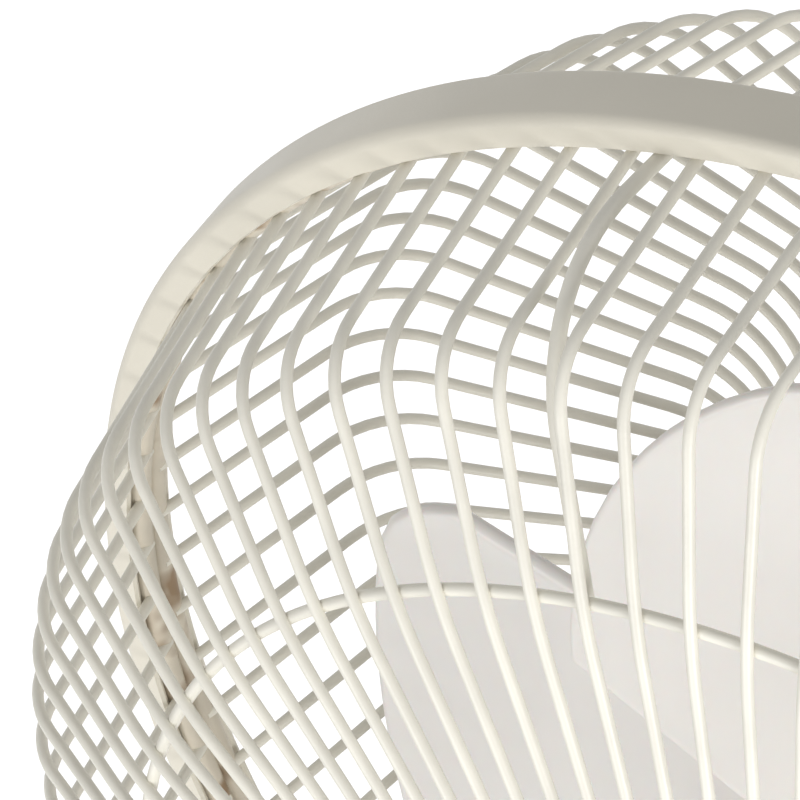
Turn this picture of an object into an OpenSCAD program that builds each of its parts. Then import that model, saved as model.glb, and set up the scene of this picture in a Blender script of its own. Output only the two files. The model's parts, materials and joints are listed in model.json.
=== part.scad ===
// Wall fan with a swinging, tilting head and a two-part wire guard.
// The origin is the centre of the wall plate's screw pattern, on its back
// face. The fan blows towards -Y, the wall is at y = 0 and +Z is up.

/* [Guard ring] */
// Outside diameter of the clamp ring that joins the two guards
ring_d = 430; // [410:1:450]
// Width of the clamp ring along the fan's axis
ring_w = 13.6; // [13:0.1:16]
// Wall of the clamp ring's channel
ring_wall = 1.6; // [1:0.1:1.7]
// Depth of the clamp ring's two side flanges
ring_flange = 6; // [5.5:0.1:6]
// Gap between the clamp ring's ends at the bottom
ring_gap = 8; // [5:0.5:14]
// Diameter of the rim wire that the ring clamps
rim_d = 4.2; // [3.5:0.1:4.6]

/* [Guard wires] */
// Number of wires in each guard
wire_count = 90; // [72:2:96]
// Diameter of a guard wire
wire_d = 2.2; // [1.8:0.1:2.4]
// Depth that welded wires sink into each other
weld = 0.3; // [0.2:0.05:0.4]
// Distance at which the plane of each wire passes the fan's axis
wire_offset = 4.9; // [0:0.1:8]
// Angle of the plane of the first front wire
front_wire_angle = 2.1; // [1.8:0.1:2.4]
// Angle of the plane of the first rear wire
rear_wire_angle = 0.2; // [0:0.1:4]

/* [Front guard] */
// Diameter at which the front wires bend over
front_shoulder_d = 403; // [390:1:405]
// Distance of that bend from the ring's rear edge
front_shoulder_depth = 57.8; // [46:0.1:65]
// Bend radius at the front shoulder
front_bend_r = 18; // [14:0.5:24]
// Diameter of the support ring inside the front face
support_d = 329; // [300:1:340]
// Distance of the support ring from the ring's rear edge
support_depth = 76.5; // [72:0.1:82]
// Diameter of the wire that the support rings are made of
support_wire_d = 2.2; // [2:0.1:3]
// Diameter of the inner ring on the front face
inner_ring_d = 188; // [150:1:210]
// Distance of the inner ring from the ring's rear edge
inner_ring_depth = 96; // [90:0.1:100]
// Diameter of the hub ring in the middle of the front guard
front_hub_d = 92; // [80:1:110]
// Distance of the hub ring from the ring's rear edge
front_hub_depth = 104; // [101:0.1:112]
// Angle of the plane of the first of three braces inside the front guard
brace_angle = 116.1; // [115.6:0.1:116.6]
// Diameter of a brace wire
brace_d = 2.8; // [2.2:0.1:3.2]
// Thickness of the blank cap in the middle of the front guard
cap_t = 2.4; // [1.6:0.1:4]

/* [Rear guard] */
// Diameter at which the rear wires bend over
rear_shoulder_d = 385; // [370:1:392]
// Distance of that bend behind the ring's rear edge
rear_shoulder_depth = 45.2; // [35:0.1:50]
// Bend radius at the rear shoulder
rear_bend_r = 20.6; // [12:0.2:24]
// Diameter of the rear guard's centre plate
rear_plate_d = 128; // [116:1:140]
// Distance of the rear wires' inner ends behind the ring's rear edge
rear_depth = 79.6; // [74:0.1:86]
// Thickness of the rear guard's centre plate
rear_plate_t = 1.6; // [1:0.1:2]
// Diameter of the support ring inside the rear face
rear_ring_d = 236; // [200:1:260]

/* [Propeller] */
// Diameter over the blade tips
blade_d = 332; // [316:1:344]
// Number of blades
blade_count = 3; // [2:1:3]
// Thickness of a blade
blade_t = 2; // [1.6:0.1:2.6]
// Thickness of a blade's rolled edge
blade_rim_t = 3.2; // [2.6:0.1:4]
// Angle of the first blade's rear edge
blade_angle = 49.5; // [0:0.5:119.5]
// Angle that one blade covers at its root
blade_span = 91; // [76:1:94]
// Rise of a blade for each degree of turn at its root
root_rise = 0.4; // [0.34:0.01:0.42]
// Rise of a blade for each degree of turn at its tip
tip_rise = 0.6; // [0.5:0.01:0.75]
// Outside diameter of the propeller hub
hub_d = 76; // [68:1:84]
// Distance of the blades' rear edges behind the ring's rear edge
blade_back = 8.5; // [8:0.5:14]
// Length of the propeller hub behind the ring's rear edge
hub_back = 46; // [40:0.5:50]
// Length of the propeller hub in front of the ring's rear edge
hub_front = 31; // [30:0.5:34]
// Wall of the propeller hub
hub_wall = 2.6; // [2:0.1:3.2]
// Diameter of the motor shaft
shaft_d = 8; // [7:0.5:9]
// Radial clearance of a running fit
fit = 0.05; // [0.02:0.01:0.08]
// Gap between pieces that only lie against each other
seat = 0.3; // [0.2:0.05:0.4]

/* [Motor] */
// Outside diameter of the stator
stator_d = 84; // [78:1:88]
// Length of the stator
stator_l = 30; // [24:1:32]
// Outside diameter of the rotor
rotor_d = 45; // [40:1:48]
// Outside diameter of the motor's rear cover
cover_d = 124; // [120:1:132]
// Wall of the motor's plastic covers
cover_wall = 2.2; // [1.8:0.1:2.6]
// Length of the motor's rear cover
cover_l = 96; // [96:1:100]
// Radius of the rear cover's rounded end
cover_round = 24; // [18:1:26]
// Diameter of a bearing bush
bush_d = 16; // [14:0.5:18]
// Length of a bearing bush
bush_l = 14; // [10:0.5:15]

/* [Head and neck] */
// Height of the fan's axis above the wall plate's centre
axis_z = 150; // [146:1:156]
// Distance from the wall to the swing axis
swing_y = 100; // [96:1:110]
// Distance from the swing axis to the ring's rear edge
reach = 160; // [156:1:164]
// Height of the tilt bolt above the wall plate's centre
tilt_z = 58; // [54:1:60]
// Diameter of the swing spindle
spindle_d = 12; // [10:0.5:13]
// Thickness of the thrust washer under the gearbox
washer_t = 3; // [2:0.1:4]
// Diameter of the tilt bolt
tilt_bolt_d = 8; // [6:0.5:9]
// Width of the yoke's lug between the arm's ears
lug_w = 24; // [20:0.5:26]
// Thickness of one ear of the arm
ear_t = 6.5; // [5:0.5:8]
// Diameter of the arm's tube
arm_d = 34; // [30:1:36]

/* [Wall base] */
// Width of the base housing
base_w = 124; // [116:1:136]
// Height of the base housing
base_h = 176; // [170:1:190]
// Depth of the base housing
base_depth = 58; // [56:0.5:62]
// Wall of the base housing
base_wall = 2.6; // [2:0.1:3]
// Distance from the wall plate's centre up to the housing's top
base_top = 76; // [74:0.5:80]
// Distance between the wall screws across the plate
screw_span_x = 76; // [60:1:80]
// Distance between the wall screws up the plate
screw_span_z = 104; // [90:1:108]
// Diameter of the wall screw holes
screw_hole_d = 5.5; // [4.5:0.1:6]
// Thickness of the wall plate
plate_t = 2; // [1.5:0.1:3]
// Diameter of the speed knob
knob_d = 40; // [34:1:44]
// Height of the speed knob
knob_h = 19; // [15:0.5:22]
// Height of the speed knob's centre, below the wall plate's centre
knob_drop = 58; // [56:0.5:62]
// Bore of the grommet where the cord comes in
cord_bore = 7.2; // [6:0.1:8]

/* [Hidden] */
$fn = 64;

// Guard places, measured forwards from the ring's rear edge
ring_r = ring_d / 2;
rim_r = ring_r - ring_wall - 0.7 - rim_d / 2;
rear_rim_z = ring_wall + 0.5 + rim_d / 2;
front_rim_z = ring_w - ring_wall - 0.5 - rim_d / 2;
wire_r = rim_r - rim_d / 2 - wire_d / 2 + weld;
skin = (wire_d + support_wire_d) / 2 - weld;

// Motor places along the fan's axis, forwards from the ring's rear edge
plate_z = -rear_depth - wire_d / 2 + weld - rear_plate_t;
nose_z = plate_z + rear_plate_t + 9;
shield_z = plate_z - 12;
stator_z = shield_z - 12 - stator_l;
casting_z = stator_z - 12;
collar_r = 23.7;
seat_r = 34;
lug_r = stator_d / 2 + 8;
cover_front_z = shield_z - 6;
cover_back_z = cover_front_z - cover_l;
shaft_r = shaft_d / 2;
shaft_back_z = casting_z - 34;
shaft_front_z = hub_front + 12;
pin_d = 3;
pin_z = -hub_back - 4;
wheel_x = 19.5;
wheel_z = casting_z - 23;
wheel_r = 15.4;
spindle_r = spindle_d / 2;

// Neck heights
washer_z = axis_z - 54;
yoke_top = washer_z - seat / 3 - washer_t;
boss_bottom = washer_z + seat / 3;
spindle_top = axis_z - 22;

// Base places
front_y = -base_depth;
base_mid_z = base_top - base_h / 2;
arm_z = tilt_z - 46;
arm_bend = 26;

function polar(r, a, z) = [r * cos(a), r * sin(a), z];
function unit(v) = v / norm(v);

// The points of the round bend of radius r at q, between p and s, in a plane.
function bend_points(p, q, s, r, n) =
    let (
        half = acos(unit(p - q) * unit(s - q)) / 2,
        centre = q + unit(unit(p - q) + unit(s - q)) * r / sin(half),
        first = q + unit(p - q) * r / tan(half) - centre,
        last = q + unit(s - q) * r / tan(half) - centre,
        side = sign(first.x * last.y - first.y * last.x),
        a = atan2(first.y, first.x)
    )
    [for (k = [0 : n]) centre + r * [cos(a + side * k * (180 - 2 * half) / n),
        sin(a + side * k * (180 - 2 * half) / n)]];

// A path through pts with its inner corners rounded.
function rounded(pts, radii) = concat(
    [pts[0]],
    [for (i = [1 : len(pts) - 2])
        each bend_points(pts[i - 1], pts[i], pts[i + 1], radii[i - 1], i == 1 ? 4 : 2)],
    [pts[len(pts) - 1]]
);

// Which way is left of the path at point i.
function left_of(path, i) =
    let (
        a = path[max(i - 1, 0)],
        b = path[min(i + 1, len(path) - 1)],
        d = unit(b - a)
    )
    [-d.y, d.x];

// The outline of a wire of width w that follows a path.
function band(path, w) = concat(
    [for (i = [0 : len(path) - 1]) path[i] + left_of(path, i) * w / 2],
    [for (i = [len(path) - 1 : -1 : 0]) path[i] - left_of(path, i) * w / 2]
);

// A ring of wire. Its section has flat sides, which keeps the welds light.
module hoop(r, z, d) {
    translate([0, 0, z]) rotate_extrude($fn = 180) translate([r, 0])
        rotate(22.5) circle(d = d, $fn = 8);
}

// Places a piece on the fan's axis: local z runs forwards from the ring.
module on_axis() {
    translate([0, -swing_y - reach, axis_z]) rotate([90, 0, 0]) children();
}

// Places a piece on the swing axis, with world heights kept.
module on_swing() {
    translate([0, -swing_y, 0]) children();
}

module around(n, r, a = 0) {
    for (i = [0 : n - 1]) rotate([0, 0, a + i * 360 / n]) translate([r, 0, 0]) children();
}

module tube(r_out, r_in, z, h) {
    translate([0, 0, z]) difference() {
        cylinder(h = h, r = r_out);
        translate([0, 0, -1]) cylinder(h = h + 2, r = r_in);
    }
}

// A flat plate with round corners, standing on z = 0.
module round_plate(w, h, r, t) {
    linear_extrude(t) union() {
        square([w - 2 * r, h], center = true);
        square([w, h - 2 * r], center = true);
        for (x = [-1, 1], y = [-1, 1])
            translate([x * (w / 2 - r), y * (h / 2 - r)]) circle(r);
    }
}

// Turns a piece that stands on z = 0 so that it grows away from the wall.
module facing(y, z = 0) {
    translate([0, y, z]) rotate([90, 0, 0]) children();
}

module pan_head(r, h) {
    cylinder(h = h * 0.55, r = r);
    translate([0, 0, h * 0.55]) cylinder(h = h * 0.45, r1 = r, r2 = r * 0.62);
}

// Wall base

module wall_plate() {
    color("silver") {
        difference() {
            facing(0) round_plate(screw_span_x + 20, screw_span_z + 22, 6, plate_t);
            for (x = [-1, 1], z = [-1, 1])
                translate([x * screw_span_x / 2, 1, z * screw_span_z / 2])
                    rotate([90, 0, 0]) cylinder(h = plate_t + 2, d = screw_hole_d);
            // Window for the supply wires
            facing(1, -screw_span_z / 2 + 10) round_plate(34, 24, 4, plate_t + 2);
        }
        // Side tabs that take the housing's screws
        for (x = [-1, 1])
            translate([x * (base_w / 2 - base_wall - seat - 0.7 - plate_t / 2), 0, 0]) difference() {
                union() {
                    translate([-plate_t / 2, -16, -11]) cube([plate_t, 16, 22]);
                    translate([x > 0 ? -14 : 0, -plate_t, -11]) cube([14, plate_t, 22]);
                }
                translate([-plate_t, -10, 0]) rotate([0, 90, 0]) cylinder(h = plate_t * 2, d = 3.4);
            }
    }
}

// A block with round edges and a slight draft, growing away from the wall.
module rounded_block(w, h, d, r) {
    hull() {
        for (x = [-1, 1], z = [-1, 1]) {
            translate([x * (w / 2 - r), -1, z * (h / 2 - r)]) rotate([90, 0, 0])
                cylinder(h = 1, r = r, $fn = 32);
            translate([x * (w / 2 - r / 2 - 1.5), -d + r / 2, z * (h / 2 - r / 2 - 1.5)])
                sphere(r / 2, $fn = 24);
        }
    }
}

module base_housing() {
    color("ivory") difference() {
        union() {
            difference() {
                translate([0, 0.7, base_mid_z]) rounded_block(base_w, base_h, base_depth + 0.7, 16);
                translate([0, 1, base_mid_z])
                    rounded_block(base_w - 2 * base_wall, base_h - 2 * base_wall,
                        base_depth - base_wall + 1, 14);
            }
            // Bosses that carry the switch and the arm's screws
            for (a = [30, 150, 270])
                facing(front_y + 12, arm_z) rotate([0, 0, a]) translate([arm_d / 2 + 6, 0, 0])
                    cylinder(h = 11.5, r = 4.5);
        }
        // Front hole for the switch's bush
        facing(front_y + 8, -knob_drop) cylinder(h = 20, r = 6.2);
        // Passage for the wires into the arm
        facing(front_y + 8, arm_z) cylinder(h = 20, r = 7);
        for (a = [30, 150, 270])
            facing(front_y + 14, arm_z) rotate([0, 0, a]) translate([arm_d / 2 + 6, 0, 0])
                cylinder(h = 30, r = 1.7);
        // Hole for the cord's grommet in the bottom wall
        translate([0, -base_depth / 2, base_mid_z - base_h / 2 - 5])
            cylinder(h = 14, d = cord_bore + 5);
        for (x = [-1, 1]) translate([x * base_w / 2, -10, 0]) rotate([0, 90, 0])
            cylinder(h = 30, r = 1.9, center = true);
        // Cooling slots under the housing
        for (x = [-36, -30, -24, 24, 30, 36])
            translate([x - 1.2, -base_depth + 14, base_mid_z - base_h / 2 - 5]) cube([2.4, 28, 14]);
    }
}

module control_plate() {
    color("lightgrey") difference() {
        facing(front_y - seat / 3, -knob_drop) cylinder(h = 1.4, r = knob_d / 2 + 5);
        facing(front_y + 1, -knob_drop) cylinder(h = 5, r = 6.3);
    }
}

module speed_switch() {
    color("dimgrey") difference() {
        union() {
            translate([-17, front_y + base_wall + seat, -knob_drop - 15]) cube([34, 20, 30]);
            facing(front_y + base_wall + seat + 0.1, -knob_drop)
                cylinder(h = base_wall + seat + 3.4, r = 6);
            for (x = [-12, -4, 4, 12])
                translate([x - 2.4, front_y + base_wall + seat + 19, -knob_drop - 8])
                    cube([4.8, 8, 0.8]);
        }
        facing(front_y + base_wall + seat + 14, -knob_drop) cylinder(h = 30, r = 3 + fit);
    }
}

module run_capacitor() {
    color("white") translate([-19, front_y + base_wall + seat, base_top - 45]) difference() {
        cube([38, 18, 26]);
        for (x = [12, 26]) translate([x, 20, 13]) rotate([90, 0, 0]) cylinder(h = 6, r = 1.4);
    }
}

module terminal_block() {
    color("whitesmoke") translate([-45, front_y + base_wall + seat, -32]) difference() {
        cube([12, 16, 32]);
        for (z = [6, 16, 26]) {
            translate([6, 17, z]) rotate([90, 0, 0]) cylinder(h = 9, r = 2);
            translate([-1, 5, z]) rotate([0, 90, 0]) cylinder(h = 14, r = 1.6);
        }
    }
}

module cord_grommet() {
    color("dimgrey") translate([0, -base_depth / 2, base_mid_z - base_h / 2 + 0.75])
        rotate_extrude() difference() {
            union() {
                translate([cord_bore / 2, -2.6]) square([5.4, 2.3]);
                translate([cord_bore / 2, -2.6]) square([2.2, base_wall + 5.2]);
                translate([cord_bore / 2, base_wall + 0.6]) square([4.4, 2]);
            }
            translate([cord_bore / 2 + 5.4, -2.6]) circle(r = 1, $fn = 32);
        }
}

module housing_screws() {
    color("silver") for (x = [-1, 1])
        translate([x * (base_w / 2 + seat / 3), -10, 0]) rotate([0, x * 90, 0]) {
            pan_head(3.4, 2.2);
            translate([0, 0, -9]) cylinder(h = 9, r = 1.6);
        }
}

module arm() {
    color("ivory") difference() {
        union() {
            facing(front_y - seat, arm_z) cylinder(h = 5, r = arm_d / 2 + 12);
            facing(front_y - seat - 5, arm_z) cylinder(h = 4, r1 = arm_d / 2 + 6, r2 = arm_d / 2);
            facing(front_y - seat - 1, arm_z)
                cylinder(h = swing_y - arm_bend + front_y - seat - 1, d = arm_d);
            translate([0, -swing_y + arm_bend, arm_z + arm_bend]) rotate([0, -90, 0])
                rotate([0, 0, 180]) rotate_extrude(angle = 90)
                    translate([arm_bend, 0]) circle(d = arm_d);
            on_swing() translate([0, 0, arm_z + arm_bend])
                cylinder(h = tilt_z - 17 - arm_z - arm_bend + 2, d = arm_d);
            for (x = [-1, 1]) on_swing() translate([x * (lug_w / 2 + seat + ear_t / 2), 0, tilt_z])
                rotate([0, 90, 0]) cylinder(h = ear_t, r = 16, center = true);
            for (x = [-1, 1]) on_swing()
                translate([x * (lug_w / 2 + seat + ear_t / 2) - ear_t / 2, -12, tilt_z - 22])
                    cube([ear_t, 24, 22]);
        }
        // Saddle that the yoke's lug turns in
        on_swing() translate([0, 0, tilt_z]) rotate([0, 90, 0])
            cylinder(h = lug_w + 2 * seat, r = 16.4, center = true);
        on_swing() translate([0, 0, tilt_z]) rotate([0, 90, 0])
            cylinder(h = 80, r = tilt_bolt_d / 2 + 0.2, center = true);
        // Way for the wires along the arm's foot
        facing(front_y + 1, arm_z) cylinder(h = 26, r = 7);
        for (a = [30, 150, 270])
            facing(front_y + 1, arm_z) rotate([0, 0, a]) translate([arm_d / 2 + 6, 0, 0]) {
                cylinder(h = 20, r = 2.2);
                translate([0, 0, 5 + seat + 0.6]) cylinder(h = 20, r = 4.4);
            }
    }
}

module arm_screws() {
    color("silver") for (a = [30, 150, 270])
        facing(front_y - seat - 5, arm_z) rotate([0, 0, a]) translate([arm_d / 2 + 6, 0, 0]) {
            translate([0, 0, seat / 3]) pan_head(3.8, 2.6);
            translate([0, 0, -12]) cylinder(h = 12.2, r = 1.6);
        }
}

module tilt_bolt() {
    reach_x = lug_w / 2 + ear_t + seat;
    color("silver") on_swing() translate([0, 0, tilt_z]) rotate([0, 90, 0]) {
        translate([0, 0, -reach_x - seat - 4.4]) cylinder(h = 4.4, r = tilt_bolt_d * 0.85, $fn = 6);
        translate([0, 0, -reach_x - seat - 0.5]) cylinder(h = 2 * reach_x + 16, d = tilt_bolt_d);
    }
}

// Moving controls

module speed_knob() {
    color("ivory") facing(front_y - 5, -knob_drop) difference() {
        union() {
            cylinder(h = 3, d = knob_d);
            translate([0, 0, 3]) cylinder(h = knob_h - 5, d1 = knob_d - 3, d2 = knob_d - 7);
            translate([0, 0, knob_h - 2]) cylinder(h = 2, d1 = knob_d - 7, d2 = knob_d - 11);
            around(18, knob_d / 2 - 3, 10) translate([0, 0, 2]) cylinder(h = knob_h - 6, r = 1.3);
            // Pointer rib
            translate([-1.5, 2, knob_h - 1]) cube([3, knob_d / 2 - 8, 2.2]);
        }
        translate([0, 0, -1]) cylinder(h = knob_h - 5, r = 3 + fit);
        translate([0, 0, -1]) difference() {
            cylinder(h = 7, d = knob_d - 6);
            translate([0, 0, -1]) cylinder(h = 10, r = 7);
        }
    }
}

module switch_shaft() {
    color("silver") facing(front_y + base_wall + seat + 12, -knob_drop)
        cylinder(h = base_wall + seat + 12 + 5 + knob_h - 7, r = 3);
}

module tilt_knob() {
    reach_x = lug_w / 2 + ear_t + seat;
    color("dimgrey") on_swing() translate([reach_x + seat, 0, tilt_z]) rotate([0, 90, 0])
        difference() {
            union() {
                cylinder(h = 3, r = 10);
                translate([0, 0, 3]) cylinder(h = 14, r1 = 8, r2 = 6.5);
                for (a = [0, 180]) rotate([0, 0, a]) translate([6, -2.2, 4]) cube([11, 4.4, 12]);
                for (a = [0, 180]) rotate([0, 0, a]) translate([17, 0, 4]) cylinder(h = 12, r = 2.2);
            }
            translate([0, 0, -1]) cylinder(h = 17, r = tilt_bolt_d / 2 + fit);
        }
}

// Neck

module tilt_yoke() {
    color("silver") on_swing() difference() {
        union() {
            translate([0, 0, tilt_z]) rotate([0, 90, 0]) cylinder(h = lug_w, r = 15, center = true);
            translate([0, 0, tilt_z]) cylinder(h = yoke_top - tilt_z - 4, r = 12);
            translate([0, 0, yoke_top - 14]) cylinder(h = 6, r1 = 12, r2 = 17);
            translate([0, 0, yoke_top - 8]) cylinder(h = 8, r = 17);
        }
        translate([0, 0, tilt_z]) rotate([0, 90, 0])
            cylinder(h = lug_w + 2, r = tilt_bolt_d / 2 + fit, center = true);
        translate([0, 0, yoke_top - 18]) cylinder(h = 30, r = spindle_r + fit);
    }
}

module swing_spindle() {
    color("silver") on_swing() difference() {
        union() {
            translate([0, 0, yoke_top - 17.8])
                cylinder(h = spindle_top - yoke_top + 17.8, r = spindle_r);
            translate([0, 0, spindle_top]) cylinder(h = 1, r1 = spindle_r, r2 = spindle_r - 1);
        }
        // Groove for the screw that keeps the head on
        translate([0, 0, boss_bottom + 9.7]) difference() {
            cylinder(h = 4.6, r = spindle_r + 1);
            translate([0, 0, -1]) cylinder(h = 6, r = spindle_r - 1.6);
        }
    }
}

module thrust_washer() {
    color("gold") on_swing() tube(14, spindle_r + fit, yoke_top + seat / 3, washer_t - seat * 2 / 3);
}

// Motor

module gearbox() {
    boss_h = axis_z - boss_bottom;
    color("silver") difference() {
        union() {
            on_axis() {
                tube(stator_d / 2 + 4, stator_d / 2 + fit, casting_z + 4, 10);
                translate([0, 0, casting_z]) cylinder(h = 4.4, r = stator_d / 2 + 4);
                for (a = [45 : 90 : 315]) rotate([0, 0, a]) translate([lug_r, 0, casting_z])
                    cylinder(h = 14, r = 5);
                translate([-18, -21, casting_z - 41.6]) cube([56.5, 46, 42.6]);
            }
            on_swing() translate([0, 0, boss_bottom]) cylinder(h = boss_h - 18, r = 15);
            on_swing() translate([0, 0, boss_bottom + 4]) for (a = [90, 180]) rotate([0, 0, a])
                translate([0, -2, 0]) cube([21, 4, boss_h - 22]);
            // Flat boss under the spindle screw's head
            on_swing() translate([8, 0, boss_bottom + 12]) rotate([0, 90, 0]) cylinder(h = 7, r = 5.5);
        }
        // Swing bore
        on_swing() translate([0, 0, boss_bottom - 1])
            cylinder(h = spindle_top + 3 - boss_bottom, r = spindle_r + fit);
        // Seat of the rear bush and way for the shaft
        on_axis() {
            translate([0, 0, casting_z - bush_l + 3])
                cylinder(h = bush_l + 10, r = bush_d / 2 + fit / 2);
            translate([0, 0, casting_z - 39]) cylinder(h = 50, r = shaft_r + 1.2);
            // Gear chamber, open at the top
            translate([-7.5, -8.5, casting_z - 39]) cube([15, 17, 24]);
            translate([wheel_x, 40, wheel_z]) rotate([90, 0, 0]) cylinder(h = 50, r = wheel_r + 0.8);
            translate([wheel_x, 0, wheel_z]) rotate([90, 0, 0]) cylinder(h = 16, r = 3 + fit);
            for (a = [45 : 90 : 315]) rotate([0, 0, a]) translate([lug_r, 0, casting_z - 1])
                cylinder(h = 20, r = 2.1);
            for (x = [-14, 34.5], z = [-37.5, -6]) translate([x, 26, casting_z + z])
                rotate([90, 0, 0]) cylinder(h = 9, r = 1.3);
        }
        // Tapped hole for the spindle screw
        on_swing() translate([0, 0, boss_bottom + 12]) rotate([0, 90, 0]) cylinder(h = 20, r = 2.05);
    }
}

module gearbox_lid() {
    color("silver") on_axis() difference() {
        union() {
            translate([-18, 25 + seat / 3, casting_z - 41.6]) cube([56.5, 2, 41.6 - seat]);
            translate([wheel_x, 25 + 8, wheel_z]) rotate([90, 0, 0]) cylinder(h = 7, r = 8);
            for (x = [-14, 34.5], z = [-37.5, -6]) translate([x, 29 + seat / 3, casting_z + z])
                rotate([90, 0, 0]) cylinder(h = 2.2, r = 2.6);
        }
        translate([wheel_x, 40, wheel_z]) rotate([90, 0, 0]) cylinder(h = 20, r = 3.2);
    }
}

module spindle_screw() {
    color("silver") on_swing() translate([0, 0, boss_bottom + 12]) rotate([0, 90, 0]) {
        translate([0, 0, spindle_r - 1.2]) cylinder(h = 12, r = 2);
        translate([0, 0, 15 + seat / 3]) pan_head(3.6, 2.4);
    }
}

module rear_bearing() {
    color("gold") on_axis()
        tube(bush_d / 2, shaft_r + fit, casting_z - bush_l + 3.2, bush_l - 4);
}

module front_bearing() {
    color("gold") on_axis() tube(bush_d / 2, shaft_r + fit, nose_z - bush_l - 0.8, bush_l);
}

module stator_core() {
    color("dimgrey") on_axis() translate([0, 0, stator_z]) linear_extrude(stator_l) difference() {
        circle(d = stator_d);
        circle(d = rotor_d + 1);
        for (i = [0 : 15]) rotate(i * 22.5) {
            translate([rotor_d / 2 - 1, -1]) square([4, 2]);
            translate([rotor_d / 2 + 3, -2]) square([8, 4]);
            translate([rotor_d / 2 + 11, 0]) circle(2);
        }
    }
}

module stator_coils() {
    color("darkorange") on_axis() for (z = [stator_z + stator_l + seat, stator_z - 7 - seat])
        translate([0, 0, z]) rotate_extrude() translate([rotor_d / 2 + 2.5, 0]) union() {
            square([12, 5.5]);
            translate([2, 0]) square([8, 7]);
        }
}

module motor_front_shield() {
    color("silver") on_axis() difference() {
        union() {
            tube(stator_d / 2 + 4, stator_d / 2 + fit, stator_z + stator_l - 4, 16);
            translate([0, 0, shield_z - 1]) cylinder(h = 4, r = stator_d / 2 + 4);
            translate([0, 0, shield_z]) cylinder(h = plate_z - shield_z - seat / 3, r = seat_r);
            translate([0, 0, shield_z]) cylinder(h = nose_z - shield_z, r = collar_r);
            for (a = [45 : 90 : 315]) rotate([0, 0, a]) translate([lug_r, 0, shield_z - 3])
                cylinder(h = 6, r = 5);
            // Pins that keep the rear guard from turning
            around(3, 29, 30) translate([0, 0, plate_z - 1]) cylinder(h = rear_plate_t + 2.4, r = 1.8);
        }
        translate([0, 0, nose_z - bush_l - 1]) cylinder(h = bush_l + 2, r = bush_d / 2 + fit / 2);
        translate([0, 0, shield_z - 10]) cylinder(h = 40, r = shaft_r + 1);
        for (a = [45 : 90 : 315]) rotate([0, 0, a]) translate([lug_r, 0, shield_z - 10])
            cylinder(h = 30, r = 2.1);
    }
}

module motor_bolts() {
    color("silver") on_axis() for (a = [45 : 90 : 315]) rotate([0, 0, a])
        translate([lug_r, 0, 0]) {
            translate([0, 0, casting_z - 2]) cylinder(h = shield_z + 3 - casting_z + 2.4, r = 2);
            translate([0, 0, shield_z + 3 + seat / 3]) pan_head(3.6, 2.4);
            translate([0, 0, casting_z - 3.4 - seat / 3]) cylinder(h = 3.2, r = 3.9, $fn = 6);
        }
}

module motor_rear_cover() {
    r = cover_d / 2;
    w = cover_wall;
    l = cover_l;
    q = cover_round;
    color("ivory") difference() {
        on_axis() translate([0, 0, cover_front_z]) rotate_extrude($fn = 128) difference() {
            union() {
                translate([0, -l + q]) square([r, l - q]);
                translate([0, -l]) square([r - q, q + 1]);
                translate([r - q, -l + q]) circle(q);
            }
            union() {
                translate([-1, -l + q]) square([r - w + 1, l]);
                translate([-1, -l + w]) square([r - q + 1, q + 1]);
                translate([r - q, -l + q]) circle(q - w);
            }
            translate([-80, -l - 50]) square([80, 200]);
        }
        // Slot round the neck
        on_swing() translate([0, 0, axis_z - cover_d]) {
            cylinder(h = cover_d - 30, r = 21);
            translate([-18.5, -61, 0]) cube([37, 61, cover_d - 30]);
        }
        // Way for the oscillation knob's stem
        on_axis() translate([wheel_x, 80, wheel_z]) rotate([90, 0, 0]) cylinder(h = 50, r = 4.2);
        // Cooling slots in the back
        on_axis() for (a = [0 : 15 : 345]) rotate([0, 0, a])
            translate([16, -1.4, cover_back_z - 1]) cube([22, 2.8, 12]);
        for (a = [60, 120]) on_axis() rotate([0, 0, a]) translate([0, 0, cover_front_z - 6])
            rotate([0, 90, 0]) cylinder(h = 90, r = 1.8);
    }
}

module motor_front_cover() {
    r = cover_d / 2;
    w = cover_wall;
    front = plate_z - 1.6 - cover_front_z;
    color("ivory") on_axis() difference() {
        translate([0, 0, cover_front_z + seat]) rotate_extrude($fn = 128) difference() {
            union() {
                square([r - 9, front]);
                translate([0, 0]) square([r, front - 9]);
                translate([r - 9, front - 9]) circle(9);
                translate([0, -9]) square([r - w - seat, 10]);
            }
            translate([-1, -10]) square([r - 9 - w + 1, front - w + 10]);
            translate([-1, -10]) square([r - 2 * w - seat + 1, front - 9 + 10]);
            translate([r - 9 - w, front - 9]) circle(9 - w);
            translate([-1, -20]) square([seat_r + seat + 1, front + 40]);
        }
        for (a = [60, 120]) rotate([0, 0, a]) translate([0, 0, cover_front_z - 6])
            rotate([0, 90, 0]) cylinder(h = 90, r = 1.3);
        // Cooling slots round the front
        for (a = [0 : 12 : 348]) rotate([0, 0, a])
            translate([40, -1.3, cover_front_z + front - w - 2]) cube([11, 2.6, 9]);
    }
}

module cover_screws() {
    color("silver") on_axis() for (a = [60, 120]) rotate([0, 0, a])
        translate([0, 0, cover_front_z - 6]) rotate([0, 90, 0]) {
            translate([0, 0, cover_d / 2 + seat / 3]) pan_head(3, 2);
            translate([0, 0, cover_d / 2 - 2 * cover_wall - 1])
                cylinder(h = 2 * cover_wall + 1.2, r = 1.2);
        }
}

// Guards

// The points of front wire number i, as distance from the axis and height.
// Every second wire ends at the inner ring.
function front_path(i) =
    let (
        tilt = atan2(inner_ring_depth - support_depth, (support_d - inner_ring_d) / 2),
        full = [
            [wire_r, front_rim_z - 1],
            [front_shoulder_d / 2, front_shoulder_depth],
            [support_d / 2 + skin * sin(tilt), support_depth + skin * cos(tilt)],
            [inner_ring_d / 2, inner_ring_depth + skin],
            [front_hub_d / 2, front_hub_depth + skin],
        ]
    )
    i % 2 == 0 ? full : [for (k = [0 : 3]) full[k]];

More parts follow.
